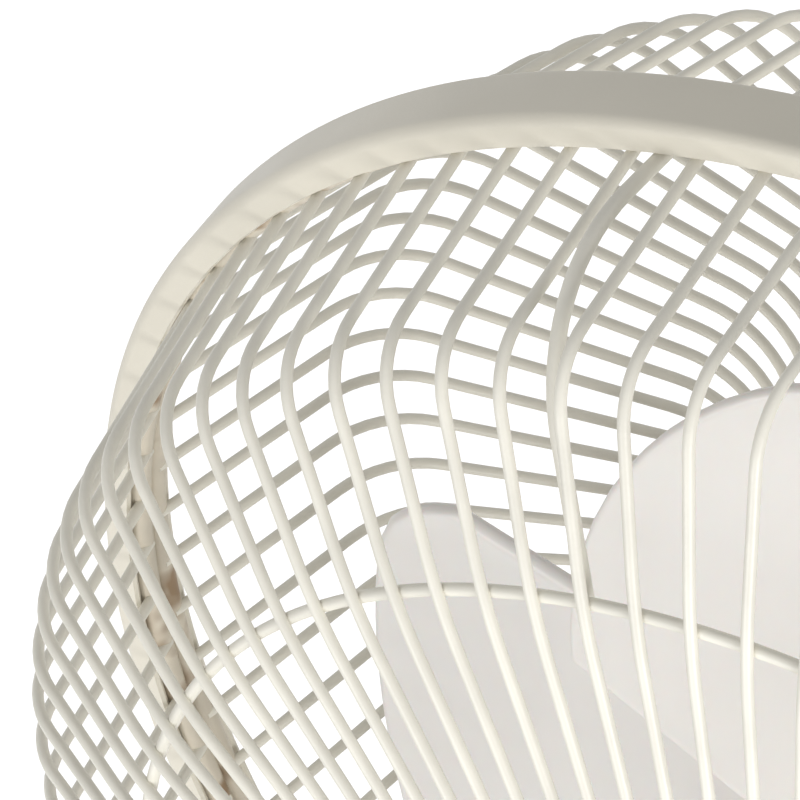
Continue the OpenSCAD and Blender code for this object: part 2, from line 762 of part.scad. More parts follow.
rear_drop = (rear_depth - rear_shoulder_depth) / (rear_shoulder_d - rear_plate_d + 4);
rear_ring_depth = rear_shoulder_depth + rear_drop * (rear_shoulder_d - rear_ring_d);

// The points of rear wire number i. Every second wire ends at the rear ring.
function rear_path(i) = [
    [wire_r, rear_rim_z + 1],
    [rear_shoulder_d / 2, -rear_shoulder_depth],
    i % 2 == 0 ? [rear_plate_d / 2 - 2, -rear_depth] : [rear_ring_d / 2, -rear_ring_depth],
];

// Stands a wire's profile up in its plane, which passes the axis at wire_offset.
module stand(a, w) {
    rotate([0, 0, a]) translate([0, -wire_offset, 0]) rotate([90, 0, 0])
        linear_extrude(w, center = true) children();
}

module front_guard() {
    // Braces lie under the support ring and end on the rim, like the wires
    under = (brace_d + support_wire_d) / 2 - weld;
    brace = [
        [wire_r + (wire_d - brace_d) / 2, front_rim_z - 1],
        [front_shoulder_d / 2 - 1.8, front_shoulder_depth - 1.2],
        [support_d / 2 - under * 0.58 - 0.8, support_depth - under * 0.82 + 0.6],
    ];
    color("ivory") on_axis() {
        hoop(rim_r, front_rim_z, rim_d);
        // Turned so that its seam lies between two wires
        rotate([0, 0, 2]) hoop(support_d / 2, support_depth, support_wire_d);
        hoop(inner_ring_d / 2, inner_ring_depth, support_wire_d);
        hoop(front_hub_d / 2, front_hub_depth, support_wire_d);
        for (i = [0 : wire_count - 1]) stand(front_wire_angle + i * 360 / wire_count, wire_d)
            polygon(band(rounded(front_path(i), [front_bend_r, 60, 60]), wire_d));
        for (k = [0 : 2]) stand(brace_angle + k * 120, brace_d)
            polygon(band(rounded(brace, [front_bend_r - 2]), brace_d));
    }
}

module rear_guard() {
    color("ivory") on_axis() {
        hoop(rim_r, rear_rim_z, rim_d);
        hoop(rear_ring_d / 2, -rear_ring_depth + skin, support_wire_d);
        difference() {
            translate([0, 0, plate_z]) cylinder(h = rear_plate_t, d = rear_plate_d);
            translate([0, 0, plate_z - 1]) cylinder(h = 4, r = collar_r + 0.4);
            around(3, 29, 30) translate([0, 0, plate_z - 1]) cylinder(h = 4, r = 2.2);
            around(6, 50, 0) translate([0, 0, plate_z - 1]) cylinder(h = 4, r = 5);
        }
        for (i = [0 : wire_count - 1]) stand(rear_wire_angle + i * 360 / wire_count, wire_d)
            polygon(band(rounded(rear_path(i), [rear_bend_r]), wire_d));
    }
}

module guard_nut() {
    z = plate_z + rear_plate_t + seat / 3;
    color("ivory") on_axis() difference() {
        union() {
            translate([0, 0, z]) cylinder(h = 3, r = 34);
            translate([0, 0, z + 3]) cylinder(h = 6, r1 = 31, r2 = 29);
            around(12, 30) translate([0, 0, z]) cylinder(h = 8.4, r = 2.6);
        }
        translate([0, 0, z - 1]) cylinder(h = 20, r = collar_r + fit);
        around(3, 29, 30) translate([0, 0, z - 1]) cylinder(h = 2.6, r = 2.4);
    }
}

module clamp_ring() {
    half_gap = asin(ring_gap / 2 / ring_r);
    color("ivory") on_axis() difference() {
        union() {
            rotate([0, 0, -90 + half_gap]) rotate_extrude(angle = 360 - 2 * half_gap, $fn = 180)
                translate([ring_r, 0]) difference() {
                    translate([-ring_flange, 0]) square([ring_flange, ring_w]);
                    translate([-ring_flange - 1, ring_wall])
                        square([ring_flange + 1 - ring_wall, ring_w - 2 * ring_wall]);
                }
            for (s = [-1, 1]) translate([s * (ring_gap / 2 + 1.5) - 1.5, -ring_r - 11, 1.2])
                cube([3, 11.6, ring_w - 2.4]);
        }
        translate([-20, -ring_r - 5.5, ring_w / 2]) rotate([0, 90, 0]) cylinder(h = 40, r = 2.2);
    }
}

module clamp_screw() {
    color("silver") on_axis() translate([-ring_gap / 2 - 3 - seat, -ring_r - 5.5, ring_w / 2])
        rotate([0, 90, 0]) {
            cylinder(h = ring_gap + 14, r = 2);
            rotate([180, 0, 0]) pan_head(3.8, 2.6);
        }
}

module clamp_nut() {
    color("silver") on_axis() difference() {
        translate([ring_gap / 2 + 3 + seat, -ring_r - 5.5 - 3.5, ring_w / 2 - 3.5]) cube([3.2, 7, 7]);
        translate([0, -ring_r - 5.5, ring_w / 2]) rotate([0, 90, 0]) cylinder(h = 40, r = 2 + fit);
    }
}

// The blank cap snaps over the hub ring.
module centre_cap() {
    r = front_hub_d / 2;
    z = front_hub_depth + skin + wire_d / 2 + seat;
    color("ivory") on_axis() rotate_extrude($fn = 128) union() {
        translate([0, z]) square([r, cap_t]);
        translate([r, z]) intersection() {
            circle(r = cap_t, $fn = 48);
            square(cap_t);
        }
        translate([0, z + cap_t - 0.01]) square([r - 8, 1.2]);
        translate([r - 8, z + cap_t - 0.01]) intersection() {
            circle(r = 1.2, $fn = 48);
            square(1.2);
        }
        translate([r - 5, front_hub_depth - 3]) square([cap_t, z - front_hub_depth + 4]);
    }
}

// Rotor and propeller

module motor_shaft() {
    color("silver") on_axis() difference() {
        union() {
            translate([0, 0, shaft_back_z]) cylinder(h = shaft_front_z - shaft_back_z, r = shaft_r);
            translate([0, 0, shaft_front_z]) cylinder(h = 0.8, r1 = shaft_r, r2 = shaft_r - 0.8);
        }
        // Worm's root, cut in the shaft's rear end
        translate([0, 0, wheel_z - 7]) difference() {
            cylinder(h = 14, r = shaft_r + 1);
            translate([0, 0, -1]) cylinder(h = 16, r = shaft_r - 0.6);
        }
        translate([-20, 0, pin_z]) rotate([0, 90, 0]) cylinder(h = 40, d = pin_d + 2 * fit);
    }
}

module rotor_core() {
    color("grey") on_axis() difference() {
        union() {
            translate([0, 0, stator_z]) cylinder(h = stator_l, d = rotor_d);
            tube(rotor_d / 2 - 1, rotor_d / 2 - 7, stator_z - 3, 4);
            tube(rotor_d / 2 - 1, rotor_d / 2 - 7, stator_z + stator_l - 1, 4);
        }
        translate([0, 0, stator_z - 10]) cylinder(h = stator_l + 20, r = shaft_r + fit / 2);
    }
}

module drive_pin() {
    color("silver") on_axis() translate([-11, 0, pin_z]) rotate([0, 90, 0])
        cylinder(h = 22, d = pin_d);
}

// One blade, as rows of points from root to rim and columns from its rear
// edge to its front edge.
rows = 13;
cols = 22;
tip_r = blade_d / 2;
root_r = hub_d / 2 - hub_wall / 2;

// Outer end of the blade's column at v: the rear corner is tight and the
// front corner is a long round sweep, like a petal.
function petal_r(v) =
    tip_r * (1 - 0.28 * pow(max(0, v - 0.67) / 0.33, 1.43) - 0.06 * pow(max(0, 0.1 - v) / 0.1, 2));
function rise(r) = root_rise + (tip_rise - root_rise) * (r - root_r) / (tip_r - root_r);
function camber(r, v) = -6.3 * sin(180 * v) * min(1, (r - root_r) / 60);
function blade_height(r, v) = -blade_back + rise(r) * blade_span * v + camber(r, v);

// A rolled edge: thin at the very edge, thick just inside it.
function blade_half(i, j) =
    let (e = min(rows - i, j, cols - j))
    (e == 0 ? blade_rim_t * 0.55 : e == 1 ? blade_rim_t : blade_t) / 2;

function blade_point(i, j, side) =
    let (
        // Columns and rows crowd towards the edges, where the rolled rim is
        v = 0.5 - 0.5 * cos(180 * j / cols),
        u = sin(90 * i / rows),
        r = root_r + (petal_r(v) - root_r) * u,
        a = blade_angle + blade_span * v
    )
    polar(r, a, blade_height(r, v) + side * blade_half(i, j));

function grid(i, j, side) = side * (rows + 1) * (cols + 1) + i * (cols + 1) + j;

module blade() {
    points = [for (s = [-1, 1], i = [0 : rows], j = [0 : cols]) blade_point(i, j, s)];
    back = [for (i = [0 : rows - 1], j = [0 : cols - 1])
        each [[grid(i, j, 0), grid(i + 1, j, 0), grid(i + 1, j + 1, 0)],
            [grid(i, j, 0), grid(i + 1, j + 1, 0), grid(i, j + 1, 0)]]];
    front = [for (i = [0 : rows - 1], j = [0 : cols - 1])
        each [[grid(i, j, 1), grid(i + 1, j + 1, 1), grid(i + 1, j, 1)],
            [grid(i, j, 1), grid(i, j + 1, 1), grid(i + 1, j + 1, 1)]]];
    loop = concat(
        [for (j = [0 : cols - 1]) [0, j]],
        [for (i = [0 : rows - 1]) [i, cols]],
        [for (j = [cols : -1 : 1]) [rows, j]],
        [for (i = [rows : -1 : 1]) [i, 0]]
    );
    count = len(loop);
    edge = [for (k = [0 : count - 1])
        let (a = loop[k], b = loop[(k + 1) % count])
        each [[grid(a[0], a[1], 0), grid(b[0], b[1], 0), grid(b[0], b[1], 1)],
            [grid(a[0], a[1], 0), grid(b[0], b[1], 1), grid(a[0], a[1], 1)]]];
    polyhedron(points, concat(back, front, edge), convexity = 6);
}

module propeller() {
    r = hub_d / 2;
    color("white") on_axis() difference() {
        union() {
            for (k = [0 : blade_count - 1]) rotate([0, 0, k * 360 / blade_count]) blade();
            tube(r, r - hub_wall, -hub_back, hub_back + hub_front);
            translate([0, 0, hub_front - hub_wall]) cylinder(h = hub_wall, r = r - 0.5);
            translate([0, 0, hub_front]) cylinder(h = 1.6, r1 = r - 2, r2 = r - 8);
            translate([0, 0, -hub_back - 6]) cylinder(h = hub_back + hub_front + 5, r = 10);
            for (a = [0 : 60 : 300]) rotate([0, 0, a])
                translate([8, -1, -hub_back + 8]) cube([r - 9.5, 2, hub_back + hub_front - 9]);
        }
        translate([0, 0, -hub_back - 10]) cylinder(h = 200, r = shaft_r + fit);
        // Slot that the drive pin sits in
        translate([-14, -pin_d / 2 - 0.2, -hub_back - 10])
            cube([28, pin_d + 0.4, pin_z + hub_back + 10 + pin_d / 2 + 0.2]);
    }
}

module spinner_nut() {
    z = hub_front + 1.6 + seat;
    color("ivory") on_axis() difference() {
        union() {
            translate([0, 0, z]) cylinder(h = 3, r = 19);
            translate([0, 0, z + 3]) cylinder(h = 10, r1 = 17, r2 = 14);
            translate([0, 0, z + 13]) cylinder(h = 4, r1 = 14, r2 = 9);
            around(10, 16.4) translate([0, 0, z + 1]) cylinder(h = 11, r = 2);
        }
        translate([0, 0, z - 1]) cylinder(h = 13, r = shaft_r + fit);
    }
}

// Oscillation drive

module worm_wheel() {
    color("white") on_axis() translate([wheel_x, 4, wheel_z]) rotate([90, 0, 0]) difference() {
        union() {
            cylinder(h = 8, r = wheel_r - 1.4);
            around(40, wheel_r - 1.5) translate([0, 0, 4]) cube([2.6, 1.2, 8], center = true);
            translate([0, 0, -7]) cylinder(h = 8, r = 7);
            translate([0, 0, 8]) cylinder(h = 9, r = 3);
        }
        // Cross slot that the clutch knob's stem drops into
        translate([0, 0, -8]) cylinder(h = 11, r = 3.2);
    }
}

module knob_stem() {
    top = cover_d / 2 + 8;
    color("silver") on_axis() translate([wheel_x, top, wheel_z]) rotate([90, 0, 0])
        cylinder(h = top - 6, r = 2.6);
}

module oscillation_knob() {
    base = sqrt(pow(cover_d / 2, 2) - pow(wheel_x - 9, 2)) + 0.5;
    color("ivory") on_axis() translate([wheel_x, base, wheel_z]) rotate([-90, 0, 0])
        difference() {
            union() {
                cylinder(h = 9, r = 6);
                translate([0, 0, 9]) cylinder(h = 4, r1 = 6, r2 = 9);
                translate([0, 0, 13]) cylinder(h = 3, r = 9);
                translate([0, 0, 16]) cylinder(h = 2, r1 = 9, r2 = 7.4);
            }
            translate([0, 0, -1]) cylinder(h = cover_d / 2 + 8.2 - base + 1, r = 2.6 + fit);
        }
}

wall_plate();
base_housing();
control_plate();
speed_switch();
run_capacitor();
terminal_block();
cord_grommet();
housing_screws();
arm();
arm_screws();
tilt_bolt();
speed_knob();
switch_shaft();
tilt_knob();
tilt_yoke();
swing_spindle();
thrust_washer();
gearbox();
gearbox_lid();
spindle_screw();
rear_bearing();
stator_core();
stator_coils();
motor_front_shield();
front_bearing();
motor_bolts();
motor_rear_cover();
motor_front_cover();
cover_screws();
rear_guard();
guard_nut();
front_guard();
clamp_ring();
clamp_screw();
clamp_nut();
centre_cap();
motor_shaft();
rotor_core();
drive_pin();
propeller();
spinner_nut();
worm_wheel();
oscillation_knob();
knob_stem();
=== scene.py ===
import json
import math

import bpy
import numpy as np
from mathutils import Matrix, Vector


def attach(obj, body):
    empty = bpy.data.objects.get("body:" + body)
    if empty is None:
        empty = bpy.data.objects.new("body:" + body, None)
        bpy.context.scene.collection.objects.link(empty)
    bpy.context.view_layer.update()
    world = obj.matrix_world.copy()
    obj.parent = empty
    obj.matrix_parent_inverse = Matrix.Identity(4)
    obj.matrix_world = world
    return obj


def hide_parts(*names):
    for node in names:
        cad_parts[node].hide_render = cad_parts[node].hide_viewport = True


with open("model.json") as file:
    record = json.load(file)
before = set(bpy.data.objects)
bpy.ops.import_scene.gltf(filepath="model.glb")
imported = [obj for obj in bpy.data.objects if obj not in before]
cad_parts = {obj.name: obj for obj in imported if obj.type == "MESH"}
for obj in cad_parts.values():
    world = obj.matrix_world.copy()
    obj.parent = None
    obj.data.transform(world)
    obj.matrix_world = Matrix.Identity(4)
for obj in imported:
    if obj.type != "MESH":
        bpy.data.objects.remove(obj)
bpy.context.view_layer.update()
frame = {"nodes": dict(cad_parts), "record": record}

# The dressed model of the wall fan. Lengths are millimetres in the fan's own
# coordinates: x to the right, y up and z forwards from the guard ring's rear
# edge, as in the CAD source. Angles are degrees from x towards y.
MM = 0.001
RING_Y = -260.0
AXIS_Z = 150.0

# Edges that turn by less than this are shaded smooth
SMOOTH_BELOW = 35.0


def to_world(points):
    """The fan's millimetres as metres in the frame."""
    p = np.asarray(points, float)
    return np.stack([p[..., 0], RING_Y - p[..., 2], AXIS_Z + p[..., 1]], -1) * MM


def polar(r, angle, z):
    """The place, or places, at a radius, an angle and z."""
    r, angle, z = np.broadcast_arrays(
        np.asarray(r, float), np.radians(angle), np.asarray(z, float)
    )
    return np.stack([r * np.cos(angle), r * np.sin(angle), z], -1)


def unit(v):
    return v / np.linalg.norm(v)


def turned(points, angle):
    """The points turned round the fan's axis."""
    a = math.radians(angle)
    c, s = math.cos(a), math.sin(a)
    return points @ np.array([[c, s, 0], [-s, c, 0], [0, 0, 1]])


def bend(p, q, s, radius, steps):
    """The points of the round bend at q between p and s."""
    u, v = unit(p - q), unit(s - q)
    half = math.acos(np.clip(u @ v, -1, 1)) / 2
    centre = q + unit(u + v) * radius / math.sin(half)
    first = q + u * radius / math.tan(half) - centre
    last = q + v * radius / math.tan(half) - centre
    side = np.cross(unit(np.cross(first, last)), first)
    turn = math.pi - 2 * half
    return [
        centre + first * math.cos(t) + side * math.sin(t)
        for t in np.linspace(0, turn, steps + 1)
    ]


def rounded(points, radii, steps=8):
    """A path through the points, with a round bend at each one between its ends."""
    path = [points[0]]
    for k, radius in enumerate(radii):
        path += bend(points[k], points[k + 1], points[k + 2], radius, steps)
    return np.array(path + [points[-1]])


def grid_faces(rows, sides, closed):
    """Faces between rows of points, each row a closed loop. The rows close on
    themselves too, or the first and last have a cap."""
    faces = []
    for i in range(rows if closed else rows - 1):
        a, b = i * sides, (i + 1) % rows * sides
        for j in range(sides):
            k = (j + 1) % sides
            faces.append([a + j, a + k, b + k, b + j])
    if not closed:
        last = (rows - 1) * sides
        faces.append(list(range(sides - 1, -1, -1)))
        faces.append([last + j for j in range(sides)])
    return faces


def tube(path, radius, sides, closed=False):
    """A round wire along a path, with flat ends unless it closes on itself."""
    path = np.asarray(path, float)
    if closed:
        along = np.roll(path, -1, 0) - np.roll(path, 1, 0)
    else:
        along = np.gradient(path, axis=0)
    along /= np.linalg.norm(along, axis=1)[:, None]
    # Any direction will do that no wire starts along
    normal = np.cross(along[0], [0.31, 0.17, 0.94])
    rings = []
    turn = np.linspace(0, 2 * math.pi, sides, endpoint=False)
    for p, t in zip(path, along):
        normal = unit(normal - t * (normal @ t))
        other = np.cross(t, normal)
        rings.append(
            p + radius * (np.outer(np.cos(turn), normal) + np.outer(np.sin(turn), other))
        )
    return np.concatenate(rings), grid_faces(len(path), sides, closed)


def revolve(profile, steps, start=0.0, sweep=360.0):
    """A closed profile of (radius, z) points turned round the fan's axis.
    The profile runs anticlockwise with radius to the right and z up."""
    profile = np.asarray(profile, float)
    whole = sweep >= 360
    angles = start + np.linspace(0, sweep, steps + (0 if whole else 1), endpoint=not whole)
    rows = [polar(profile[:, 0], a, profile[:, 1]) for a in angles]
    faces = grid_faces(len(angles), len(profile), whole)
    # A row goes round the section the other way from a tube's ring
    return np.concatenate(rows), [face[::-1] for face in faces]


def arc(cx, cz, radius, start, end, steps=6):
    """Points of a profile on a round corner about (cx, cz)."""
    a = np.radians(np.linspace(start, end, steps + 1))
    return [(cx + radius * math.cos(t), cz + radius * math.sin(t)) for t in a]


def box_shape(low, high):
    """The points and faces of a box between two corners."""
    x, y, z = zip(low, high)
    points = [(x[i], y[j], z[k]) for i in (0, 1) for j in (0, 1) for k in (0, 1)]
    faces = [[0, 1, 3, 2], [4, 6, 7, 5], [0, 4, 5, 1], [2, 3, 7, 6], [0, 2, 6, 4], [1, 5, 7, 3]]
    return np.array(points, float), faces


class Shape:
    """Vertices and faces that grow into one mesh."""

    def __init__(self):
        self.points = []
        self.faces = []
        self.count = 0

    def add(self, points, faces):
        points = np.asarray(points, float).reshape(-1, 3)
        self.faces += [[i + self.count for i in face] for face in faces]
        self.points.append(points)
        self.count += len(points)

    def mesh(self, name):
        mesh = bpy.data.meshes.new(name)
        points = to_world(np.concatenate(self.points))
        mesh.from_pydata(points.tolist(), [], self.faces)
        mesh.validate()
        mesh.shade_smooth()
        mesh.set_sharp_from_angle(angle=math.radians(SMOOTH_BELOW))
        return mesh


def add_piece(name, mesh, body, node, material):
    """A visible piece on a body, which stands for a CAD node."""
    mesh.materials.clear()
    mesh.materials.append(material)
    obj = bpy.data.objects.new(name, mesh)
    bpy.context.scene.collection.objects.link(obj)
    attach(obj, body)
    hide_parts(node)


# Materials. A ramp runs between two values of the noise.
PATCH_RAMP = (0.35, 0.65)
STAIN_RAMP = (0.56, 0.70)
STAIN_SPOTS = 90.0
GLOSS_SPREAD = 0.06
GRAIN_HEIGHT = 0.0004
LIGHT_DEPTH = 0.002


def make_material(
    name,
    colour,
    rough,
    shade=0.06,
    patch=18.0,
    grain=900.0,
    bump=0.04,
    metallic=0.0,
    subsurface=0.0,
    brushed=(1, 1, 1),
    stain=None,
):
    """A procedural finish: slow colour change, fine grain and uneven gloss, with
    stains of another colour where one is given. Patches and grains are counted
    per metre, and a brushed finish has more of them along one axis."""
    mat = bpy.data.materials.new(name)
    mat.use_nodes = True
    nodes, links = mat.node_tree.nodes, mat.node_tree.links
    shader = nodes["Principled BSDF"]
    shader.inputs["Metallic"].default_value = metallic
    shader.inputs["Subsurface Weight"].default_value = subsurface
    shader.inputs["Subsurface Scale"].default_value = LIGHT_DEPTH
    place = nodes.new("ShaderNodeTexCoord")
    stretch = nodes.new("ShaderNodeMapping")
    stretch.inputs["Scale"].default_value = brushed
    links.new(place.outputs["Object"], stretch.inputs["Vector"])

    def noise(scale, detail):
        node = nodes.new("ShaderNodeTexNoise")
        node.inputs["Scale"].default_value = scale
        node.inputs["Detail"].default_value = detail
        links.new(stretch.outputs["Vector"], node.inputs["Vector"])
        return node.outputs["Fac"]

    def ramp(value, low, high, start=(0, 0, 0), end=(1, 1, 1)):
        """A colour that goes from start at low to end at high."""
        node = nodes.new("ShaderNodeValToRGB")
        for element, position, rgb in zip(node.color_ramp.elements, (low, high), (start, end)):
            element.position = position
            element.color = (*rgb, 1)
        links.new(value, node.inputs["Fac"])
        return node.outputs["Color"]

    dark = [c * (1 - shade) for c in colour]
    light = [min(1, c * (1 + shade / 3)) for c in colour]
    paint = ramp(noise(patch, 3), *PATCH_RAMP, dark, light)
    if stain:
        mix = nodes.new("ShaderNodeMix")
        mix.data_type = "RGBA"
        links.new(ramp(noise(STAIN_SPOTS, 2), *STAIN_RAMP), mix.inputs["Factor"])
        links.new(paint, mix.inputs["A"])
        mix.inputs["B"].default_value = (*stain, 1)
        paint = mix.outputs["Result"]
    links.new(paint, shader.inputs["Base Color"])

    gloss = nodes.new("ShaderNodeMapRange")
    gloss.inputs["To Min"].default_value = rough - GLOSS_SPREAD
    gloss.inputs["To Max"].default_value = rough + GLOSS_SPREAD
    links.new(noise(patch * 5, 2), gloss.inputs["Value"])
    links.new(gloss.outputs["Result"], shader.inputs["Roughness"])

    relief = nodes.new("ShaderNodeBump")
    relief.inputs["Strength"].default_value = bump
    relief.inputs["Distance"].default_value = GRAIN_HEIGHT
    links.new(noise(grain, 2), relief.inputs["Height"])
    links.new(relief.outputs["Normal"], shader.inputs["Normal"])
    return mat


CREAM = (0.765, 0.725, 0.62)
finishes = {
    "ivory_plastic": make_material("ivory_plastic", CREAM, 0.42, grain=1400, bump=0.12),
    "white_plastic": make_material(
        "white_plastic", (0.82, 0.80, 0.775), 0.34, shade=0.025, grain=700, subsurface=0.15
    ),
    "grey_plastic": make_material("grey_plastic", (0.32, 0.32, 0.33), 0.5, grain=1500, bump=0.2),
    "dark_plastic": make_material("dark_plastic", (0.03, 0.03, 0.033), 0.5, grain=1500, bump=0.15),
    "rubber": make_material("rubber", (0.02, 0.02, 0.02), 0.75, grain=1100, bump=0.2),
    "coated_wire": make_material(
        "coated_wire", (0.82, 0.795, 0.71), 0.38, shade=0.07, patch=60, grain=1600, bump=0.1
    ),
    "zinc_steel": make_material(
        "zinc_steel", (0.56, 0.57, 0.58), 0.34, shade=0.2, patch=90, metallic=1.0, grain=1200
    ),
    "turned_steel": make_material(
        "turned_steel", (0.6, 0.6, 0.61), 0.2, metallic=1.0, grain=900, brushed=(1, 12, 1)
    ),
    "core_steel": make_material(
        "core_steel", (0.2, 0.2, 0.21), 0.4, metallic=1.0, grain=300, brushed=(1, 40, 1), bump=0.4
    ),
    "cast_alloy": make_material(
        "cast_alloy", (0.52, 0.53, 0.54), 0.5, shade=0.15, metallic=0.9, grain=800, bump=0.5
    ),
    "copper": make_material(
        "copper", (0.62, 0.25, 0.1), 0.35, metallic=0.9, grain=700, brushed=(1, 8, 1), bump=0.6
    ),
    "bronze": make_material("bronze", (0.55, 0.36, 0.14), 0.35, metallic=1.0, grain=900, bump=0.3),
}

# The rims inside the clamp ring are painted darker than the wires, as painted shade where they lie
# inside the ring, and they have real brown stains
rim_painted_shade_and_stains = make_material(
    "rim_wire_painted_shade_and_stains", (0.68, 0.62, 0.51), 0.45, shade=0.12, patch=45, grain=1500, stain=(0.3, 0.2, 0.11)
)
# The rear guard and its plate are painted paler than the front as painted light, which lifts the
# rear wires where they lie in shade, and they have less gloss
rear_painted_light_finish = make_material(
    "rear_wire_painted_light", (0.85, 0.82, 0.725), 0.42, shade=0.08, patch=60, grain=1500, bump=0.1
)

slots = {s["node"]: s["material_slot"] for s in frame["record"]["subparts"]}
for node, obj in frame["nodes"].items():
    obj.data.materials.clear()
    obj.data.materials.append(finishes[slots[node]])

# Guards: round wires on welded rings. A place on a wire's path is its radius,
# its angle from the wire's outer end, and z.
WIRES = 90
WIRE_SIDES = 12
HOOP_D = 2.4
HOOP_STEPS, HOOP_SIDES = 240, 16
RIM_R, RIM_D = 209.0, 4.8


def path_of(places, bends, steps=8):
    """A wire's path through its places, with a bend's radius at each inner one."""
    return rounded([polar(*place) for place in places], bends, steps)


def add_guard_piece(name, shape, node, material):
    """A piece of a guard, which stands for the guard's CAD node."""
    add_piece(name, shape.mesh(name), "head", node, material)


def add_wires(name, start, d, paths, node, material):
    """All the wires of a guard, which follow the paths in turn."""
    tubes = [tube(path, d / 2, WIRE_SIDES) for path in paths]
    shape = Shape()
    for i in range(WIRES):
        points, faces = tubes[i % len(tubes)]
        shape.add(turned(points, start + i * 360 / WIRES), faces)
    add_guard_piece(name, shape, node, material)


def add_hoops(name, places, d, node, material):
    """Whole rings of round wire, each at its radius and z."""
    shape = Shape()
    angles = np.linspace(0, 360, HOOP_STEPS, endpoint=False)
    for r, z in places:
        shape.add(*tube(polar(r, angles, z), d / 2, HOOP_SIDES, closed=True))
    add_guard_piece(name, shape, node, material)


# Front guard
FRONT_START = 0.73
FRONT_WIRE_D = 2.3
FRONT_RIM_Z = 9.2
FRONT_RINGS = ((162.4, 75.2), (94.0, 95.6), (46.0, 104.0))
FRONT_WIRE = (
    (207.7, 0.0, 8.4),
    (201.0, 0.48, 58.4),
    (162.4, -0.13, 77.6),
    (94.0, -2.27, 97.5),
    (46.0, -5.9, 106.0),
)
FRONT_BENDS = (18.2, 120, 60)
BRACES = 3
BRACE_D = 2.9
BRACE_STEPS, BRACE_SIDES = 14, 20
BRACE = ((206.6, 114.93, 8.4), (210.0, 115.22, 49.3), (160.8, 113.6, 73.2))
BRACE_BENDS = (39.2,)


def front_guard():
    node, paint = "front_guard", finishes["coated_wire"]
    # Every second wire stops at the middle ring
    whole = path_of(FRONT_WIRE, FRONT_BENDS)
    short = path_of(FRONT_WIRE[:-1], FRONT_BENDS[:-1])
    add_wires("front_guard_wires", FRONT_START, FRONT_WIRE_D, (whole, short), node, paint)
    add_hoops("front_guard_rim", [(RIM_R, FRONT_RIM_Z)], RIM_D, node, rim_painted_shade_and_stains)
    add_hoops("front_guard_rings", FRONT_RINGS, HOOP_D, node, paint)
    braces = Shape()
    brace = path_of(BRACE, BRACE_BENDS, BRACE_STEPS)
    for k in range(BRACES):
        path = turned(brace, k * 360 / BRACES)
        braces.add(*tube(path, BRACE_D / 2, BRACE_SIDES))
    add_guard_piece("front_guard_braces", braces, node, paint)


front_guard()

# Rear guard, with a formed ridge between its shoulder and its plate
REAR_START = -0.6
REAR_WIRE_D = 2.2
REAR_RIM_Z = 4.4
REAR_RINGS = ((110.3, -51.9),)
REAR_WIRE = (
    (207.7, 0.0, 5.2),
    (192.5, -0.39, -45.8),
    (124.2, -2.06, -61.6),
    (109.9, -2.68, -52.3),
    (62.0, -6.8, -79.8),
)
REAR_SHORT_WIRE = REAR_WIRE[:3] + ((111.4, -2.61, -53.3),)
REAR_BENDS = (20.4, 25.9, 8)


def rear_guard():
    node = "rear_guard"
    # Every second wire stops at the ring on the ridge
    whole = path_of(REAR_WIRE, REAR_BENDS)
    short = path_of(REAR_SHORT_WIRE, REAR_BENDS[:-1])
    add_wires("rear_guard_wires", REAR_START, REAR_WIRE_D, (whole, short), node, rear_painted_light_finish)
    add_hoops("rear_guard_rim", [(RIM_R, REAR_RIM_Z)], RIM_D, node, rim_painted_shade_and_stains)
    add_hoops("rear_guard_rings", REAR_RINGS, HOOP_D, node, rear_painted_light_finish)


rear_guard()

# The rear guard's plate, with a bore, bolt holes and air holes
PLATE_R, PLATE_T = 64.0, 1.6
PLATE_Z = -82.0
PLATE_EDGE = 0.2
BORE_R = 24.1
BOLT_HOLES, BOLT_START = 3, 30
BOLT_CIRCLE_R, BOLT_HOLE_R = 29, 2.2
AIR_HOLES = 6
AIR_CIRCLE_R, AIR_HOLE_R = 50, 5.0
SMALL_R = 20
CIRCLE_STEPS, SMALL_STEPS = 160, 32


def circle(centre, radius):
    """The points of a whole circle that lies flat."""
    steps = SMALL_STEPS if radius < SMALL_R else CIRCLE_STEPS
    return polar(radius, np.arange(steps) * 360 / steps, 0) + centre


def circles_round(r, radius, count, start=0):
    """Equal circles whose centres are spread evenly on a circle of radius r."""
    return [circle(polar(r, start + k * 360 / count, 0), radius) for k in range(count)]


def rear_plate():
    name = "rear_guard_plate"
    outlines = [circle((0, 0, 0), PLATE_R), circle((0, 0, 0), BORE_R)]
    outlines += circles_round(BOLT_CIRCLE_R, BOLT_HOLE_R, BOLT_HOLES, BOLT_START)
    outlines += circles_round(AIR_CIRCLE_R, AIR_HOLE_R, AIR_HOLES)
    # A filled flat curve, which Blender turns into a solid with eased edges
    curve = bpy.data.curves.new(name, "CURVE")
    curve.dimensions = "2D"
    curve.fill_mode = "BOTH"
    curve.extrude = (PLATE_T / 2 - PLATE_EDGE) * MM
    curve.bevel_depth = PLATE_EDGE * MM
    curve.offset = -PLATE_EDGE * MM
    for outline in outlines:
        spline = curve.splines.new("POLY")
        spline.points.add(len(outline) - 1)
        spline.use_cyclic_u = True
        for point, place in zip(spline.points, outline):
            point.co = (*(place * MM), 1)
    holder = bpy.data.objects.new(name, curve)
    bpy.context.scene.collection.objects.link(holder)
    solid = holder.evaluated_get(bpy.context.evaluated_depsgraph_get())
    mesh = bpy.data.meshes.new_from_object(solid)
    bpy.data.objects.remove(holder)
    middle = to_world((0, 0, PLATE_Z + PLATE_T / 2))
    mesh.transform(
        Matrix.Translation(middle.tolist()) @ Matrix.Rotation(math.pi / 2, 4, "X")
    )
    add_piece(name, mesh, "head", "rear_guard", rear_painted_light_finish)


rear_plate()

# Clamp ring: a rolled channel with a gap at the bottom, and a lug on each side
RING_R, RING_W = 215.0, 13.6
RING_WALL = 1.6
RING_STEPS = 300
FRONT_ROUND, REAR_ROUND = 2.4, 1.2
LIP_R, LIP_ROUND = 208.4, 0.4
GAP = 8.0
LUG_T = 3.0
LUG_DROP, LUG_ROOT = 11, 0.6
LUG_INSET = 1.2


